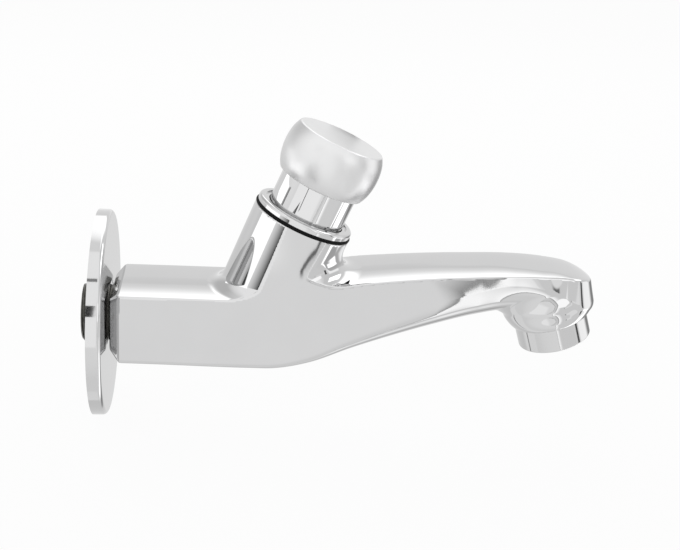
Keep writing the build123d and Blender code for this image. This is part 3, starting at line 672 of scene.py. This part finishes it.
# %% [markdown]
# The housing is a cone so slight that it looks like a cylinder, and the body's flanks cut a narrow
# plane off it on each side: the flat side runs up to the rim without a break, and only the two faint
# creases beside it show where the round part begins. So the top and the housing are joined first, with
# a hollow that is wider towards the spout, and the flanks cut both.


# %% Body and housing
def on_axis(x, y, z, place):
    """Radius and height of points on a place's axis."""
    origin, axis, side = place
    height = (x - origin[0]) * axis[0] + (z - origin[2]) * axis[2]
    out = (x - origin[0]) * side[0] + (z - origin[2]) * side[2]
    return np.hypot(out, y), height


def housing_radius(height):
    return 16.6 + 0.016 * np.maximum(height - 12, 0)


foot_end, spout_start = 62, 76
bevel_sides, bevel_top, bevel_low = 7.7, 3.9, -3.7


def body(x, y, z):
    x, y, z = np.broadcast_arrays(x, y, z)
    top, top_slope = station(x, TOP)
    under, under_slope = station(x, UNDERSIDE)
    side, across = flank(x, y, z)
    upper = (z - top + crown * np.clip(across, 0, 1.2) ** 3) / np.sqrt(1 + top_slope**2)
    radius, height = on_axis(x, y, z, BUTTON)
    round_part = meet(radius - housing_radius(height), height - rim_height, 0.45)
    round_part = np.maximum(round_part, -z)
    # The hollow round the housing's foot is narrow, a little wider at the sides and wide in front.
    beside = np.clip((np.abs(y) - 6) / 9, 0, 1)
    beside = beside * (1 - np.clip((x - foot_end) / (spout_start - foot_end), 0, 1))
    over = join(upper, round_part, 3.8 + 5.2 * eased(x, foot_end, spout_start) + 0.5 * beside)
    lower = (under - z) / np.sqrt(1 + under_slope**2)
    # The long edges are rounded to 0.55 mm, the shallow creases up the housing to 0.09 mm.
    edge = 0.55 - 0.46 * eased(z - top, 0, 4)
    shape = meet(meet(side, over, edge), lower, station(x, LOW_ROUNDING)[0])
    # Four slanting planes cut the corners off towards the wall.
    slant = np.sqrt(0.5)
    bevel = meet((np.abs(y) - bevel_sides - x) * slant, (z - bevel_top - x) * slant, 1.1)
    bevel = meet(bevel, (bevel_low - z - x) * slant, 1.1)
    return meet(meet(shape, bevel, 0.35), bar_start - x, 0.35)


print("from the bar's middle to its skin:", round(-float(body(20.0, 0.0, 0.0)), 1), "mm")

# %% [markdown]
# The bowl over the aerator is a body of revolution on the outlet's axis: an ellipse above its widest
# circle, an easier curve below. Above the aerator it is a little narrower across the spout than along
# it, so that it stands flush with the flanks.


# %% Bowl
bowl_wide, bowl_tall, bowl_middle = 15.8, 9.6, 14.2


def bowl(x, y, z):
    _, height = on_axis(x, y, z, OUTLET)
    radius, height = on_axis(x, y * (1 + 0.15 * eased(height, 8, 14)), z, OUTLET)
    drawn_in, drawn_over, lean = 2.7, 7.0, 0.771
    above = height - bowl_middle
    near = np.sqrt((radius / bowl_wide) ** 2 + (above / bowl_tall) ** 2 + 1e-12)
    slope = np.sqrt((radius / bowl_wide**2) ** 2 + (above / bowl_tall**2) ** 2 + 1e-12)
    down = np.clip(-above / drawn_over, 0, 1.2)
    wall = (radius - bowl_wide + drawn_in * down**2) / np.sqrt(1 + (lean * down) ** 2)
    return meet(np.where(above < 0, wall, near * (near - 1) / slope), boss_rim - height, 0.25)


print("bowl:", 2 * bowl_wide, "mm across at its widest,", bowl_tall, "mm tall above that")

# %% [markdown]
# Where two forms run side by side, such as the spout's flank and the bowl, a filled hollow would swell
# into a bulge. So the radius shrinks with the angle between the two surfaces: full where they cross at
# a right angle, nothing where they run together.


# %% Joining forms that cross
def gradient(field, x, y, z, e=0.02):
    return np.stack(
        [
            field(x + e, y, z) - field(x - e, y, z),
            field(x, y + e, z) - field(x, y - e, z),
            field(x, y, z + e) - field(x, y, z - e),
        ]
    ) / (2 * e)


def flow_together(first, second, r):
    def both(x, y, z):
        x, y, z = np.broadcast_arrays(x, y, z)
        a, b = first(x, y, z), second(x, y, z)
        out = np.minimum(a, b)
        near = (a < 1.2 * r) & (b < 1.2 * r) & (a > -3 * r) & (b > -3 * r)
        if near.any():
            at = x[near], y[near], z[near]
            ga, gb = gradient(first, *at), gradient(second, *at)
            same = (ga * gb).sum(0) / (np.linalg.norm(ga, axis=0) * np.linalg.norm(gb, axis=0) + 1e-9)
            out[near] = join(a[near], b[near], r * np.clip(1 - same, 0, 1) + 1e-6)
        return out

    return both


bowl_hollow = 5.0
outside = flow_together(body, bowl, bowl_hollow)
print("the bowl flows into the spout with a hollow of up to", bowl_hollow, "mm")

# %% [markdown]
# The casting is hollow: a bore from the tail, the room for the valve, the housing's bore, the channel
# through the spout and the threaded hole for the aerator. They are taken out of the field, so the
# button's parts have real room to move in.


# %% Waterways
bore_radius, bore_end = 6.5, 46.0
# radius, start and end on the button's axis: valve, nose seal, ring chamber, cartridge and bezel
valve_rooms = [(9.5, -6.5, 9.0), (8.8, 8.0, 13.5), (12.5, 13.5, 22.0), (14.3, 22.0, 60.0)]
# radius and end on the outlet's axis: the thread for the aerator and the room above it
outlet_rooms = [(12.05, 14), (9.5, 19)]
channel_start, channel_run, channel_half = (68.0, 12.0), (88.0, 3.1), (6.5, 3.2)
channel_way = np.array(channel_run) / np.hypot(*channel_run)


def hollow(x, y, z):
    radius, height = on_axis(x, y, z, BUTTON)
    rooms = [np.maximum(np.hypot(y, z) - bore_radius, x - bore_end)]
    for wide, start, end in valve_rooms:
        rooms.append(np.maximum(radius - wide, np.maximum(start - height, height - end)))
    past, above = x - channel_start[0], z - channel_start[1]
    run = past * channel_way[0] + above * channel_way[1]
    lift = above * channel_way[0] - past * channel_way[1]
    walls = np.maximum(np.abs(y) - channel_half[0], np.abs(lift) - channel_half[1])
    rooms.append(np.maximum(walls, np.maximum(-run, run - channel_run[0])))
    radius, height = on_axis(x, y, z, OUTLET)
    rooms += [np.maximum(radius - wide, height - end) for wide, end in outlet_rooms]
    out = rooms[0]
    for room in rooms[1:]:
        out = np.minimum(out, room)
    return out


def metal(x, y, z):
    return np.maximum(outside(x, y, z), -hollow(x, y, z))


print(2 + len(valve_rooms) + len(outlet_rooms), "rooms are taken out of the metal")

# %% [markdown]
# ## From field to mesh
# The field is read on a grid. Every cell that the surface passes through gets one point, at the middle
# of where its edges are crossed, and every crossed grid edge gets a face from the four cells round it.
# Then each point slides along the field's slope until the field is zero there, which puts it on the
# true surface, and the same slope is its normal.


# %% Surface from the grid
def net_of(value, low, step):
    inside = value < 0
    nx, ny, nz = (n - 1 for n in value.shape)
    corners = [(i, j, k) for i in (0, 1) for j in (0, 1) for k in (0, 1)]
    count = sum(inside[i : i + nx, j : j + ny, k : k + nz].astype(np.int8) for i, j, k in corners)
    cells = np.argwhere((count > 0) & (count < 8))
    index = -np.ones((nx, ny, nz), np.int64)
    index[tuple(cells.T)] = np.arange(len(cells))
    total, hits = np.zeros((len(cells), 3)), np.zeros(len(cells))
    for a in corners:
        for axis in range(3):
            if a[axis]:
                continue
            b = tuple(1 if n == axis else v for n, v in enumerate(a))
            va = value[tuple((cells + a).T)]
            vb = value[tuple((cells + b).T)]
            cross = (va < 0) != (vb < 0)
            t = va[cross] / (va[cross] - vb[cross])
            total[cross] += np.array(a) + t[:, None] * (np.array(b) - np.array(a))
            hits[cross] += 1
    points = np.array(low) + step * (cells + total / hits[:, None])
    faces = []
    for axis in range(3):
        one = np.eye(3, dtype=int)[axis]
        ahead = inside[one[0] :, one[1] :, one[2] :]
        here = inside[tuple(slice(0, n) for n in ahead.shape)]
        edges = np.argwhere(here != ahead)
        u, v = np.eye(3, dtype=int)[(axis + 1) % 3], np.eye(3, dtype=int)[(axis + 2) % 3]
        around = [edges - u - v, edges - v, edges, edges - u]
        good = np.all([(c >= 0).all(1) & (c < (nx, ny, nz)).all(1) for c in around], axis=0)
        quad = np.stack([index[tuple(c[good].T)] for c in around], axis=1)
        out = here[tuple(edges[good].T)]
        quad[~out] = quad[~out][:, ::-1]
        faces.append(quad)
    return points, np.concatenate(faces)


def slide(points, field, step, times=3):
    for _ in range(times):
        x, y, z = points.T
        slope = gradient(field, x, y, z)
        move = field(x, y, z) / np.maximum((slope**2).sum(0), 0.25)
        points = points - np.clip(move * slope, -0.5 * step, 0.5 * step).T
    return points


cell = 0.5
low, high = (4.0, 0.0, -14.0), (173.0, 18.0, 47.0)
grid = [np.arange(a, b + cell, cell) for a, b in zip(low, high)]
half = metal(grid[0][:, None, None], grid[1][None, :, None], grid[2][None, None, :])
whole = np.concatenate([half[:, :0:-1, :], half], axis=1)
skin, skin_faces = net_of(whole, (low[0], -grid[1][-1], low[2]), cell)
skin = slide(skin, metal, cell)
print("grid", whole.shape, "skin points", len(skin), "faces", len(skin_faces))

slope = gradient(metal, *skin.T).T
slope /= np.maximum(np.linalg.norm(slope, axis=1), 1e-9)[:, None]
skin_mesh = (skin.tolist(), skin_faces.tolist(), [slope[i] for face in skin_faces for i in face])

# %% [markdown]
# ## The thread on the tail
# A parallel pipe thread is a groove that climbs 1.814 mm a turn. As a mesh it is a tube whose radius
# depends on height and angle together, so one formula gives every point, and the slope of the same
# formula gives the normals. It starts with a chamfer at the end and runs out under the flange.


# %% Tail
tail_end, pitch, root, depth, neck_wide = -4.5, 1.814, 9.3155, 1.162, 9.2
fade_start, thread_end, neck_rows = 2.85, 3.35, [3.6, 4.6, 6.2]


def thread_radius(x, angle):
    ridge = root + depth * np.clip(0.5 + 0.66 * np.cos(tau * (x / pitch) - angle), 0, 1)
    ridge = np.minimum(ridge, 9.25 + 1.1 * np.maximum(x - tail_end, 0))
    return neck_wide + (ridge - neck_wide) * eased(-x, -thread_end, -fade_start)


around, rows = 144, np.concatenate([np.arange(tail_end, neck_rows[0], 0.09), neck_rows])
angles = np.arange(around) * tau / around
X, A = np.meshgrid(rows, angles, indexing="ij")
R = thread_radius(X, A)
dx = (thread_radius(X + 0.01, A) - thread_radius(X - 0.01, A)) / 0.02
da = (thread_radius(X, A + 0.002) - thread_radius(X, A - 0.002)) / (0.004 * R)
tail_points = np.stack([X, R * np.cos(A), R * np.sin(A)], axis=-1).reshape(-1, 3)
tail_normals = np.stack([-dx, np.cos(A) + da * np.sin(A), np.sin(A) - da * np.cos(A)], axis=-1)
tail_normals = (tail_normals / np.linalg.norm(tail_normals, axis=-1, keepdims=True)).reshape(-1, 3)
tail_faces = [
    (i * around + j, i * around + (j + 1) % around, (i + 1) * around + (j + 1) % around, (i + 1) * around + j)
    for i in range(len(rows) - 1)
    for j in range(around)
]
tail_mesh = (tail_points.tolist(), tail_faces, [tail_normals[i] for face in tail_faces for i in face])
bore_outline = [(bore_radius, bar_start), (bore_radius, -1.2), (7.4, -1.2), (7.4, tail_end), (9.25, tail_end)]
bore_mesh = turn(bore_outline, TAIL, closed=False, turns=around)
piece("casting_skin", joined(skin_mesh, tail_mesh, bore_mesh), chrome, "tap", "tap_body")

# %% [markdown]
# ## The parts that stay as they are
# The sieves, the clips, the seals and the cartridge have their right shape already, so the CAD nodes
# stay and get only a finish. Most of them are hidden inside the tap and show when it is taken apart.

# %% Finishes for the carried-over nodes
carried = {
    brass: ["cartridge_body", "cartridge_cover", "piston", "metering_jet", "washer_holder"],
    steel: [
        "spindle",
        "piston_clip",
        "cap_clip",
        "holder_nut",
        "inlet_strainer",
        "strainer_ring",
        "aerator_screen",
    ],
    rubber: [
        "nose_o_ring",
        "spindle_o_ring",
        "piston_lip_seal",
        "valve_washer",
        "cartridge_gasket",
        "aerator_gasket",
        "regulator_o_ring",
    ],
    plastic: ["aerator_insert", "flow_regulator"],
}
for finish, names in carried.items():
    for name in names:
        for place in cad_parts[name].material_slots:
            place.material = finish
print("finished:", sum(len(names) for names in carried.values()), "carried-over nodes")

# %% [markdown]
# ## Floor and surroundings
# The photograph has a white ground, so the floor is pale and the world is white wherever the camera or
# a mirror looks. Light that falls on matt things comes from a dimmer world and from the lamps. The
# floor mixes a little of its lit surface into the white, which keeps the tap's shadow. Polished metal
# has no look of its own, it shows what stands round it. So the white that only reflections see isn't
# even: it has the softer and darker fields of a studio, each said by the direction it lies in, in
# degrees. 0 is the camera's side, minus is left, and the second angle is above or below the horizon.


# %% Directions and fields
DEGREES = 57.2958  # in a radian


def degrees_seen(tree):
    """The direction a world ray looks in: round from the front, up, and round from behind."""
    way = tree.node("ShaderNodeTexCoord", out="Generated")
    x, y, z = (tree.node("ShaderNodeSeparateXYZ", None, {0: way}, out=n) for n in range(3))
    front = tree.node("ShaderNodeMath", {"operation": "ARCTAN2"}, {0: x, 1: -1 * y}) * DEGREES
    behind = tree.node("ShaderNodeMath", {"operation": "ARCTAN2"}, {0: x, 1: y}) * DEGREES
    return front, tree.node("ShaderNodeMath", {"operation": "ARCSINE"}, {0: z}) * DEGREES, behind


def rise(tree, value, start, end):
    """0 up to start, 1 from end on, and a soft step between them; end may be the smaller one."""
    settings = {"interpolation_type": "SMOOTHSTEP"}
    return tree.node("ShaderNodeMapRange", settings, {"Value": value, "From Min": start, "From Max": end})


def band(tree, value, a, b, c, d):
    return rise(tree, value, a, b) * rise(tree, value, d, c)


def toward(tone, level, mask):
    """Moves a tone to a level where the mask is 1."""
    return tone + mask * (level - tone)


def seen_directly(tree):
    """1 for rays from the camera, off a mirror or through glass, else 0."""
    kinds = ("Camera", "Glossy", "Transmission")
    rays = [tree.node("ShaderNodeLightPath", out=f"Is {kind} Ray") for kind in kinds]
    return rays[0].largest(rays[1]).largest(rays[2])


# %% World
world = bpy.data.worlds.new("studio")
bpy.context.scene.world = world
tree = Shader(world)
front, up, behind = degrees_seen(tree)
# tone, which of the two angles round, where the field starts and ends in it, and in height
fields = [
    (1.20, front, (-110, -75, 40, 55), (4, 14)),
    (0.86, front, (55, 65, 120, 140), (-5, 10)),
    (0.86, front, (-165, -150, -112, -106), (-30, -10, 20, 34)),
    (0.87, front, (22, 30, 74, 86), (0, -20)),
    (0.93, behind, (-70, -55, 55, 75), (-4, 2, 60, 70)),
    (0.80, behind, (-70, -50, 50, 75), (-4, -12)),
    (0.86, behind, (-60, -40, 40, 60), (20.2, 20.8, 21.2, 21.8)),
    (1.75, behind, (-22, -6, 32, 48), (21.2, 29)),
    (1.35, front, (79, 83, 110, 117), (-26, -18, 6, 14)),
    (1.90, front, (77, 80, 108, 114), (-70, -62, -26, -20)),
    (0.30, front, (117, 126, 140, 156), (-66, -50, -10, 2)),
    (0.68, front, (-176, -150, -128, -100), (0, 20, 40, 66)),
    (0.10, front, (68.5, 70.5, 75.5, 77.5), (-16, -12, 3, 8)),
    (0.35, front, (-105, -102.5, -100, -97.5), (-70, -60, -32, -26)),
    (2.90, front, (78, 84, 118, 124), (29, 33, 46, 52)),
]
tone = 1.0
for level, round_angle, sides, heights in fields:
    across = band(tree, round_angle, *sides)
    upward = rise(tree, up, *heights) if len(heights) == 2 else band(tree, up, *heights)
    tone = toward(tone, level, across * upward)
glossy = tree.node("ShaderNodeLightPath", out="Is Glossy Ray")
strength = toward(1.0, tone, glossy)
white = tree.node("ShaderNodeBackground", None, {"Color": (1, 1, 1, 1), "Strength": strength})
dim = tree.node("ShaderNodeBackground", None, {"Color": (1, 1, 1, 1), "Strength": 0.55})
both = tree.node("ShaderNodeMixShader", None, {0: seen_directly(tree), 1: dim, 2: white})
tree.output(both, "ShaderNodeOutputWorld")
print("world:", len(fields), "fields,", len(tree.nodes), "nodes")

# %% Floor
pale, tree = material("pale_floor")
lit = tree.node("ShaderNodeBsdfDiffuse", None, {"Color": (0.85, 0.85, 0.85, 1)})
glow = tree.node("ShaderNodeEmission", None, {"Color": (1, 1, 1, 1), "Strength": 1.0})
camera_ray = tree.node("ShaderNodeLightPath", out="Is Camera Ray")
share = seen_directly(tree) - 0.05 * camera_ray
both = tree.node("ShaderNodeMixShader", None, {0: share, 1: lit, 2: glow})
tree.output(both)


def sheet_of(name, corners, finish):
    data = bpy.data.meshes.new(name)
    data.from_pydata([tuple(v * MM for v in corner) for corner in corners], [], [(0, 1, 2, 3)])
    data.materials.append(finish)
    made = linked(name, data)
    return made


far, floor_z = 3000, -35.2
floor_corners = [(x * far, y * far, floor_z) for x, y in ((-1, -1), (1, -1), (1, 1), (-1, 1))]
floor = sheet_of("floor", floor_corners, pale)
floor.visible_glossy = False
print("floor at", floor_z, "mm; reflections look past it, into the world")

# %% [markdown]
# ## Cards
# A photographer sets white and black cards round polished metal, out of the picture. Here they are
# sheets that only reflections see. The large one stands in front, behind the camera's view: even and
# pale in the middle, darker along its right edge, and that edge is what draws the S on the spout. Five
# stand upright at the left, where the housing and the sleeve look, and three little dark ones make
# single marks in the flange's rim and in the hollow before the housing.


# %% Cards that only reflections see
def only_reflected(made):
    made.visible_camera = made.visible_diffuse = made.visible_shadow = made.visible_transmission = False


def glowing(name, tone_of):
    """A material that glows with a tone worked out from the place, in millimetres."""
    made, tree = material(name)
    place = tree.node("ShaderNodeTexCoord", out="Object")
    parts = [tree.node("ShaderNodeSeparateXYZ", None, {0: place}, out=n) * (1 / MM) for n in range(3)]
    glow = tree.node("ShaderNodeEmission", None, {"Color": (1, 1, 1, 1), "Strength": tone_of(tree, *parts)})
    tree.output(glow)
    return made


card_y, card_edge, edge_lean, edge_step = -380, 213, 0.375, 27


def front_tone(tree, x, y, z):
    """Inner and outer tone meet at an edge that leans out below and steps to the right above."""
    lower = (-125 - z).largest(0.0)
    past = x - (card_edge + edge_lean * lower + edge_step * ((z + 112) * 0.0417).clamped())
    # Left of the edge: a pale ground, brighter at its left, one thin dark line and a dark border.
    inner = 0.93 + 0.10 * rise(tree, z, -600, -140)
    inner = inner + 0.17 * rise(tree, z, -118, -98) * rise(tree, x, 122, 70)
    line = x - 0.67 * ((z + 112) * 0.01).clamped() * 100
    inner = toward(inner, 0.87, band(tree, line, 124, 127, 165, 185) * rise(tree, z, -116, -108))
    inner = toward(inner, 0.12, band(tree, line, 123, 124.5, 126, 127.5) * rise(tree, z, -119, -112))
    near = (1.0 + past * (0.036 + 0.03 * rise(tree, z, -105, -125))).clamped()
    inner = inner + near * near * (0.3 - inner)
    # Right of it: brightest beside the edge, even further out, two small marks, and white above.
    outer = 0.90 + 0.10 * rise(tree, past, 62, 50)
    outer = outer + (0.22 + 0.28 * rise(tree, past, 34, 0)) * rise(tree, past, 46, 34)
    outer = toward(outer, 1.08, rise(tree, x, 384, 396) * band(tree, z, -14, -8, 18, 26))
    outer = toward(outer, 0.2, band(tree, x, 360, 370, 380, 390) * band(tree, z, -10, -2, 8, 14))
    outer = toward(outer, 1.5, rise(tree, z, 50, 66) * rise(tree, x, 620, 520))
    return inner + past.above(0.0) * (outer - inner)


front_card = [(-700, card_y, -1500), (900, card_y, -1500), (900, card_y, 240), (-700, card_y, 240)]
only_reflected(sheet_of("front_card", front_card, glowing("front_card_glow", front_tone)))


def upright(name, start, end, bottom, top, tone_start, tone_end, distance=170, centre=(60, 0)):
    """A card that stands between two directions, in degrees, seen from the housing."""
    angles = [radians(angle) for angle in (start, end)]
    a, b = ((centre[0] + distance * sin(t), centre[1] - distance * cos(t)) for t in angles)
    corners = [(*a, bottom), (*b, bottom), (*b, top), (*a, top)]
    length = np.hypot(b[0] - a[0], b[1] - a[1])
    way = ((b[0] - a[0]) / length, (b[1] - a[1]) / length)

    def tone_of(tree, x, y, z):
        run = ((x - a[0]) * (way[0] / length) + (y - a[1]) * (way[1] / length)).clamped()
        return tone_start + (tone_end - tone_start) * run.power(1.4)

    only_reflected(sheet_of(name, corners, glowing(name + "_glow", tone_of)))


upright("housing_light", -104, -58, 6, 50, 1.7, 1.7, 120)
upright("housing_dark", -61, -36, -40, 45, 1.05, 0.03)
upright("crease_dark", -36, -27, -50, -12, 0.03, 0.03)
upright("sleeve_light", -124, -90, 58, 74, 1.75, 1.75)
upright("sleeve_dark", -90, -82, 58, 74, 0.6, 0.12)


def small_card(name, y, low, high, tone):
    """A little dark card in a plane across Y, for one spot in a rim or a hollow."""
    corners = [(low[0], y, low[1]), (high[0], y, low[1]), (high[0], y, high[1]), (low[0], y, high[1])]
    only_reflected(sheet_of(name, corners, glowing(name + "_glow", lambda *place: tone)))


small_card("rim_mark_low", -120, (-9.6, 36), (-5.0, 61), 0.02)
small_card("rim_mark_high", -120, (-30, 148), (-4, 168), 0.3)
small_card("hollow_mark", 30, (80, 50), (91, 66), 0.02)
print("cards: one in front, five at the left, three small ones")

# %% [markdown]
# ## Lamps
# Two large soft lamps light the matt things: one from above and behind, one from the camera's left.
# The metal doesn't mirror them, it has its fields and cards.


# %% Soft lamps
def softbox(name, spot, aim, size, watts):
    data = bpy.data.lights.new(name, "AREA")
    data.shape, data.size, data.size_y, data.energy = "RECTANGLE", size[0] * MM, size[1] * MM, watts
    made = linked(name, data)
    spot, aim = Vector(spot) * MM, Vector(aim) * MM
    made.location = spot
    made.rotation_euler = (aim - spot).to_track_quat("-Z", "Y").to_euler()
    made.visible_camera = made.visible_glossy = False
    return made


softbox("back_softbox", (60, 620, 560), (80, 0, 10), (1100, 420), 2.5)
softbox("front_softbox", (-380, -560, 760), (80, 0, 10), (500, 400), 1.0)
print("lamps: one behind, one in front")

# %% [markdown]
# ## Camera
# The camera's place was found from the circles in the photograph: flange, thread, housing rim, button
# and aerator are all round, and each shows as an ellipse that fixes the view. It looks down on the tap
# by about 20 degrees and is turned a little about its own axis.

# %% Camera
turn_z, tilt_up, roll = -0.0970196, 0.3506072, 0.061718
target, distance = Vector((81.713, 0, 15.559)), 409.156
back = Vector((sin(turn_z) * cos(tilt_up), -cos(turn_z) * cos(tilt_up), sin(tilt_up)))
right = Vector((cos(turn_z), sin(turn_z), 0))
up = back.cross(right)
right, up = cos(roll) * right + sin(roll) * up, cos(roll) * up - sin(roll) * right
camera = linked("camera", bpy.data.cameras.new("camera"))
camera.data.sensor_width, camera.data.lens = 36.0, 63.53
camera.data.clip_start, camera.data.clip_end = 0.01, 20
spot = (target + back * distance) * MM
camera.matrix_world = Matrix((*zip(right, up, back, spot), (0, 0, 0, 1)))
bpy.context.scene.camera = camera
bpy.context.scene.view_settings.view_transform = "Standard"
print("camera at", [round(v / MM, 1) for v in spot], "mm")
